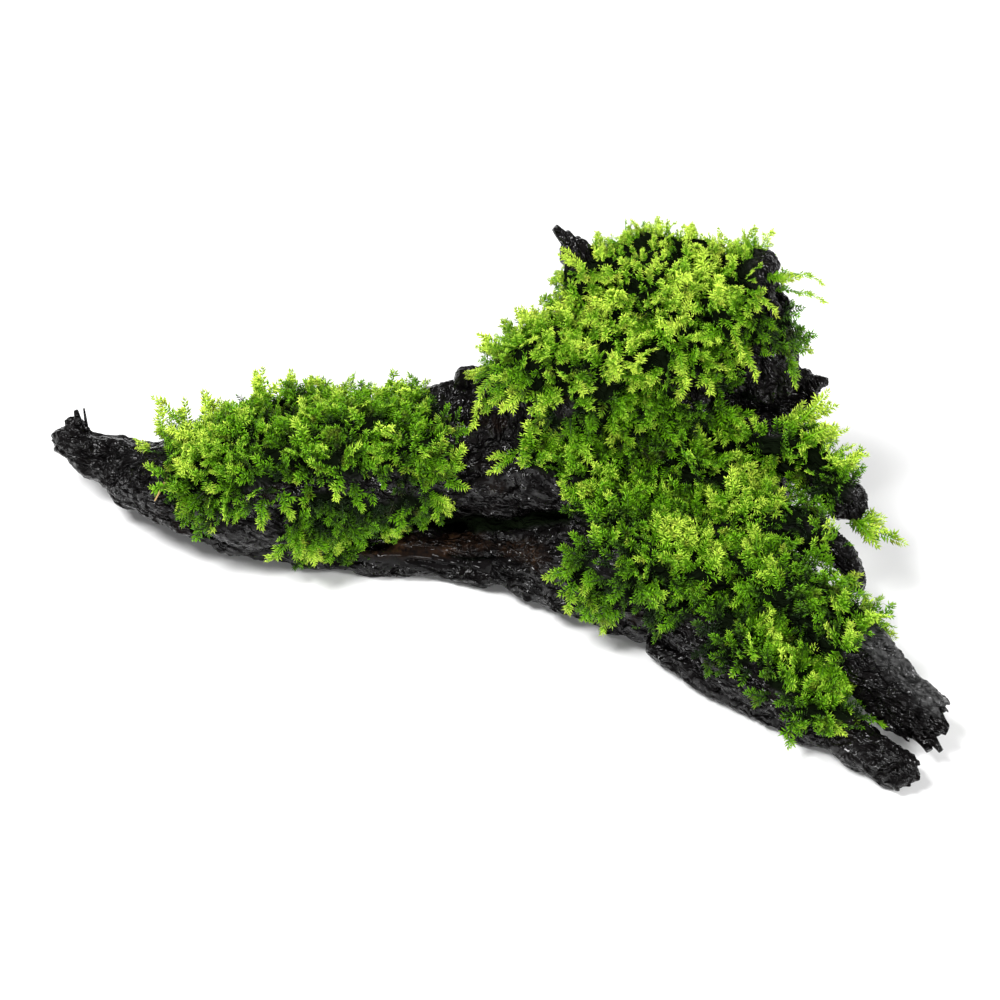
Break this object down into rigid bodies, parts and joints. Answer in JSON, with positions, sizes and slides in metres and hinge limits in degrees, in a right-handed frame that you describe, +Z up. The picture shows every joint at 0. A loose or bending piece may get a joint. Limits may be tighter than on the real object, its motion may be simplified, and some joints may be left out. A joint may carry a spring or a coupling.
{
  "type": "christmas moss on driftwood",
  "caption": "Dark wet driftwood branch with a broken upright stump and splayed roots, overgrown by mats of bright green christmas moss.",
  "frame": {"origin": "middle of the footprint's bounding box, on the surface that the driftwood lies on", "axes": "+X along the longest side, from the broken branch tip to the splayed root end; +Y to the back; +Z up"},
  "size_m": [0.2096, 0.1121, 0.0855],
  "materials": {
    "wet_driftwood": "near-black brown waterlogged driftwood, pebbly bark and torn grain under a wet gloss",
    "christmas_moss": "bright green feathery moss fronds, lime at the tips and dark olive deep inside"
  },
  "bodies": {
    "root": {"trunk": "wet_driftwood", "left_branch": "wet_driftwood", "crown_stump": "wet_driftwood", "upper_root": "wet_driftwood", "middle_root": "wet_driftwood", "upper_prong": "wet_driftwood", "lower_prong": "wet_driftwood", "front_splinter": "wet_driftwood", "moss_left_branch": "christmas_moss", "moss_crown": "christmas_moss", "moss_trunk": "christmas_moss", "moss_upper_roots": "christmas_moss", "moss_lower_prong": "christmas_moss"}
  },
  "joints": []
}
